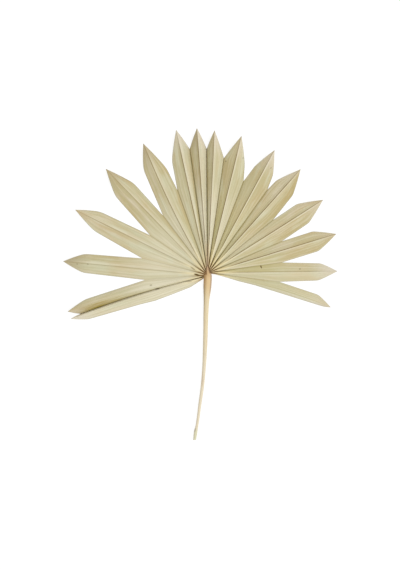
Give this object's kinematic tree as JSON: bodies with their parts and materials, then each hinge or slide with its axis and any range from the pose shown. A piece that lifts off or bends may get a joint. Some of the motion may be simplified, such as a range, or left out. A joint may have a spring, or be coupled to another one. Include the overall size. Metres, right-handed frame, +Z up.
{
  "type": "fan palm leaf",
  "caption": "Dried fan palm leaf lying back side up: a pleated half-round blade with slit, pointed segments and raised midribs, on a slim tapering stalk.",
  "frame": {"origin": "the middle of the leaf's outline, on the surface that it lies on", "axes": "+Z up, away from the surface, out of the leaf's back with its raised midribs; +Y from the stalk's cut end to the top of the fan; +X across the fan, to the right seen from above"},
  "size_m": [0.4382, 0.4976, 0.0164],
  "materials": {
    "dried_blade": "dry matt leaf, sage to straw, fine lengthwise veins",
    "dried_stalk": "smooth dry fibrous rind, golden tan, browner at the sides"
  },
  "bodies": {
    "root": {"blade": "dried_blade", "stalk": "dried_stalk"}
  },
  "joints": []
}
